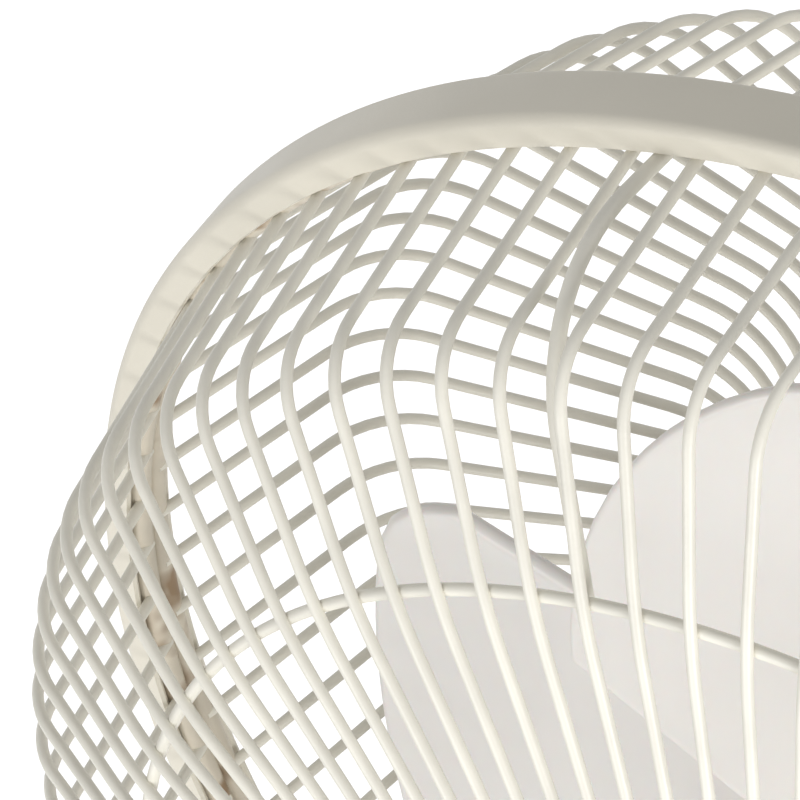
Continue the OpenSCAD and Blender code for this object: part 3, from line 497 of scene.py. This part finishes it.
def clamp_ring():
    name = "clamp_ring_band"
    inner, inner_front = RING_R - RING_WALL, RING_W - RING_WALL
    lip = LIP_R + LIP_ROUND
    rear_lip = [(lip, RING_WALL), (LIP_R, RING_WALL / 2), (lip, 0)]
    front_lip = [(lip, RING_W), (LIP_R, RING_W - RING_WALL / 2)]
    profile = (
        [(lip, inner_front), (inner, inner_front), (inner, RING_WALL)]
        + rear_lip
        + arc(RING_R - REAR_ROUND, REAR_ROUND, REAR_ROUND, -90, 0)
        + arc(RING_R - FRONT_ROUND, RING_W - FRONT_ROUND, FRONT_ROUND, 0, 90, 8)
        + front_lip
    )
    half_gap = math.degrees(math.asin(GAP / 2 / RING_R))
    shape = Shape()
    shape.add(*revolve(profile, RING_STEPS, -90 + half_gap, 360 - 2 * half_gap))
    for side in (-1, 1):
        x = side * (GAP + LUG_T) / 2
        low = (x - LUG_T / 2, -RING_R - LUG_DROP, LUG_INSET)
        high = (x + LUG_T / 2, -RING_R + LUG_ROOT, RING_W - LUG_INSET)
        shape.add(*box_shape(low, high))
    finish = finishes["ivory_plastic"]
    add_piece(name, shape.mesh(name), "head", "clamp_ring", finish)


clamp_ring()

# Propeller: a hub with three blades. A blade rises forwards from its trailing
# edge, by so many millimetres for each degree. The cuts at its corners are
# shares of its radius, and they begin at shares of its width.
BLADES = 3
BLADE_R = 165.2
BLADE_START, BLADE_SPAN = 49.2, 91.4
BLADE_BACK = 9.0
ROOT_RISE, TIP_RISE = 0.382, 0.601
CAMBER, CAMBER_GROWTH = 7.7, 60
LEADING_CUT, LEADING_FROM, LEADING_POWER = 0.286, 0.66, 1.52
TRAILING_CUT, TRAILING_TO, TRAILING_POWER = 0.088, 0.095, 3
BLADE_T, EDGE_T = 2.0, 3.2
EDGE_EASE = 4.5
HUB_R, HUB_WALL = 38.0, 2.6
ROOT_R = HUB_R - HUB_WALL / 2
HUB_REAR, HUB_ROOF = -46, 28.4
HUB_SHOULDER, HUB_ROUND = 28, 3
HUB_STEP = ((31, 31), (29.6, 32.0), (28.6, 32.6))
HUB_STEPS = 128
BOSS_R, BOSS_REAR = 10, -52
SHAFT_R = 4.05
RIBS, RIB_T = 6, 2
RIB_FROM_R, RIB_TO_R = 8, HUB_R - 1.5
RIB_REAR, RIB_FRONT = -38, 30

# Rows of points in a blade stand closer near its edges, at these distances
# from them on a blade about so long and so wide. Between them they are even.
EDGE_ROWS = np.array([0, 0.12, 0.45, 1.0, 1.6, 2.4, 3.4, 5.0, 8.0])
ROWS_LENGTH, ROWS_WIDTH = 130, 160
LENGTH_ROWS = np.linspace(0, 0.92, 22)
WIDTH_ROWS = np.linspace(0.075, 0.925, 34)


def petal_r(v):
    """The tip's radius at v, from 0 at the trailing edge to 1 at the leading."""
    leading = np.maximum(0, v - LEADING_FROM) / (1 - LEADING_FROM)
    trailing = np.maximum(0, TRAILING_TO - v) / TRAILING_TO
    cut = LEADING_CUT * leading**LEADING_POWER + TRAILING_CUT * trailing**TRAILING_POWER
    return BLADE_R * (1 - cut)


def blade_height(r, v):
    """The z of a blade's middle surface."""
    out = np.maximum(0, r - ROOT_R) / (BLADE_R - ROOT_R)
    rise = ROOT_RISE + (TIP_RISE - ROOT_RISE) * out
    camber = -CAMBER * np.sin(np.pi * v) * np.minimum(1, (r - ROOT_R) / CAMBER_GROWTH)
    return -BLADE_BACK + rise * BLADE_SPAN * v + camber


def half_thickness(d):
    """Half a blade's thickness at a distance from its edge, which is rolled."""
    e = EDGE_T / 2
    roll = e * np.sqrt(np.clip(1 - (1 - np.minimum(d / e, 1)) ** 2, 0, 1))
    ease = np.clip((d - e) / EDGE_EASE, 0, 1)
    return roll + (BLADE_T / 2 - e) * ease * ease * (3 - 2 * ease)


def two_skins(front, back):
    """Two grids of points as skins that are joined all round their edge."""
    n, m = front.shape[:2]
    index = np.arange(n * m).reshape(n, m)
    faces = []
    for i in range(n - 1):
        for j in range(m - 1):
            a, b = index[i, j], index[i + 1, j]
            c, d = index[i + 1, j + 1], index[i, j + 1]
            faces.append([a, b, c, d])
            faces.append([n * m + k for k in (a, d, c, b)])
    edge = (
        [(0, j) for j in range(m - 1)]
        + [(i, m - 1) for i in range(n - 1)]
        + [(n - 1, j) for j in range(m - 1, 0, -1)]
        + [(i, 0) for i in range(n - 1, 0, -1)]
    )
    for k, here in enumerate(edge):
        p, q = index[here], index[edge[(k + 1) % len(edge)]]
        faces.append([p, q, n * m + q, n * m + p])
    return np.concatenate([front.reshape(-1, 3), back.reshape(-1, 3)]), faces


def blade(turn):
    """A blade over u, from its root to its tip, and v, from its trailing edge
    to its leading edge."""
    far_rows = EDGE_ROWS[::-1]
    u = np.concatenate([LENGTH_ROWS, 1 - far_rows / ROWS_LENGTH])
    v = np.concatenate([EDGE_ROWS / ROWS_WIDTH, WIDTH_ROWS, 1 - far_rows / ROWS_WIDTH])
    uu, vv = np.meshgrid(u, v, indexing="ij")
    tip = petal_r(vv)
    r = ROOT_R + (tip - ROOT_R) * uu
    width = np.radians(BLADE_SPAN) * r
    to_side = np.minimum(vv * width, (1 - vv) * width)
    half = half_thickness(np.minimum(tip - r, to_side))
    middle = blade_height(r, vv)
    angle = BLADE_START + turn + BLADE_SPAN * vv
    return two_skins(polar(r, angle, middle + half), polar(r, angle, middle - half))


def hub():
    """A cup that opens to the rear, with a boss for the shaft inside it."""
    front = HUB_STEP[-1][1]
    inner = HUB_R - HUB_WALL
    profile = (
        [(HUB_R, HUB_REAR)]
        + arc(HUB_R - HUB_ROUND, HUB_SHOULDER, HUB_ROUND, 0, 90)
        + list(HUB_STEP)
        + [(SHAFT_R, front), (SHAFT_R, BOSS_REAR), (BOSS_R, BOSS_REAR)]
        + [(BOSS_R, HUB_ROOF), (inner, HUB_ROOF), (inner, HUB_REAR)]
    )
    return revolve(profile, HUB_STEPS)


def propeller():
    name = "propeller_moulding"
    shape = Shape()
    for k in range(BLADES):
        shape.add(*blade(k * 360 / BLADES))
    shape.add(*hub())
    low = (RIB_FROM_R, -RIB_T / 2, RIB_REAR)
    high = (RIB_TO_R, RIB_T / 2, RIB_FRONT)
    rib, faces = box_shape(low, high)
    for k in range(RIBS):
        shape.add(turned(rib, k * 360 / RIBS), faces)
    finish = finishes["white_plastic"]
    add_piece(name, shape.mesh(name), "rotor", "propeller", finish)


propeller()

# Surroundings, in metres: a floor far below, as under a wall fan, and a white
# background
FLOOR_Z = -2.0
FLOOR_REACH = 40.0
FLOOR_GREY = 0.85
FLOOR_LIFT = 0.7
AMBIENT = 0.48


def seen_directly(nodes, links):
    """One for camera, mirror and glass rays, zero for the rest."""
    path = nodes.new("ShaderNodeLightPath")
    total = path.outputs["Is Camera Ray"]
    for name in ("Is Glossy Ray", "Is Transmission Ray"):
        add = nodes.new("ShaderNodeMath")
        add.operation = "MAXIMUM"
        links.new(total, add.inputs[0])
        links.new(path.outputs[name], add.inputs[1])
        total = add.outputs[0]
    return total


def floor_material():
    """A pale matt floor, which glows a little where the camera sees it."""
    mat = bpy.data.materials.new("floor")
    mat.use_nodes = True
    nodes, links = mat.node_tree.nodes, mat.node_tree.links
    nodes.clear()
    out = nodes.new("ShaderNodeOutputMaterial")
    matt = nodes.new("ShaderNodeBsdfDiffuse")
    matt.inputs["Color"].default_value = (FLOOR_GREY, FLOOR_GREY, FLOOR_GREY, 1)
    glow = nodes.new("ShaderNodeEmission")
    level = nodes.new("ShaderNodeMath")
    level.operation = "MULTIPLY"
    level.inputs[1].default_value = FLOOR_LIFT
    links.new(seen_directly(nodes, links), level.inputs[0])
    links.new(level.outputs[0], glow.inputs["Strength"])
    both = nodes.new("ShaderNodeAddShader")
    links.new(matt.outputs[0], both.inputs[0])
    links.new(glow.outputs[0], both.inputs[1])
    links.new(both.outputs[0], out.inputs["Surface"])
    return mat


def floor():
    mesh = bpy.data.meshes.new("floor")
    corners = ((-1, -1), (1, -1), (1, 1), (-1, 1))
    points = [(x * FLOOR_REACH, y * FLOOR_REACH, FLOOR_Z) for x, y in corners]
    mesh.from_pydata(points, [], [[0, 1, 2, 3]])
    obj = bpy.data.objects.new("floor", mesh)
    bpy.context.scene.collection.objects.link(obj)
    mesh.materials.append(floor_material())


def surround():
    """White to the camera, and a lower even light on the fan."""
    world = bpy.data.worlds.new("surround")
    bpy.context.scene.world = world
    world.use_nodes = True
    nodes, links = world.node_tree.nodes, world.node_tree.links
    back = nodes["Background"]
    level = nodes.new("ShaderNodeMapRange")
    level.inputs["To Min"].default_value = AMBIENT
    level.inputs["To Max"].default_value = 1.0
    links.new(seen_directly(nodes, links), level.inputs["Value"])
    links.new(level.outputs["Result"], back.inputs["Strength"])
    back.inputs["Color"].default_value = (1, 1, 1, 1)


floor()
surround()

# Lamps, in metres from the place that they light
LIT_PLACE = Vector((0, -0.2, 0.12))


def lamp(name, azimuth, elevation, distance, size, level):
    """A square soft box that faces the fan. The level is what it adds to a
    white surface that faces it."""
    a, e = math.radians(azimuth), math.radians(elevation)
    away = Vector((math.sin(a) * math.cos(e), -math.cos(a) * math.cos(e), math.sin(e)))
    data = bpy.data.lights.new(name, "AREA")
    data.size = size
    data.energy = level * math.pi**2 * distance**2
    obj = bpy.data.objects.new(name, data)
    obj.location = LIT_PLACE + away * distance
    obj.rotation_mode = "QUATERNION"
    obj.rotation_quaternion = (-away).to_track_quat("-Z", "Y")
    bpy.context.scene.collection.objects.link(obj)


lamp("right", azimuth=58, elevation=4, distance=4.0, size=1.7, level=0.68)
lamp("front", azimuth=-14, elevation=-2, distance=3.2, size=1.3, level=0.37)

# Camera, in metres, placed by the wires and rings seen in the reference view.
# The lens and sensor are in millimetres.
CAMERA_AT = Vector((0.51807, -1.18827, 1.62765))
AZIMUTH, ELEVATION, ROLL = 35.895, 50.934, -3.191
SENSOR, LENS = 36, 450
NEAR, FAR = 0.1, 200


def camera():
    azimuth, elevation, roll = (math.radians(v) for v in (AZIMUTH, ELEVATION, ROLL))
    forward = Vector(
        (
            -math.sin(azimuth) * math.cos(elevation),
            math.cos(azimuth) * math.cos(elevation),
            -math.sin(elevation),
        )
    )
    level_right = Vector((math.cos(azimuth), math.sin(azimuth), 0))
    level_up = level_right.cross(forward)
    right = level_right * math.cos(roll) + level_up * math.sin(roll)
    up = right.cross(forward)
    data = bpy.data.cameras.new("camera")
    data.sensor_width = SENSOR
    data.lens = LENS
    data.clip_start = NEAR
    data.clip_end = FAR
    obj = bpy.data.objects.new("camera", data)
    obj.matrix_world = Matrix(
        (
            (right.x, up.x, -forward.x, CAMERA_AT.x),
            (right.y, up.y, -forward.y, CAMERA_AT.y),
            (right.z, up.z, -forward.z, CAMERA_AT.z),
            (0, 0, 0, 1),
        )
    )
    bpy.context.scene.collection.objects.link(obj)
    bpy.context.scene.camera = obj


camera()
bpy.context.scene.view_settings.view_transform = "Standard"
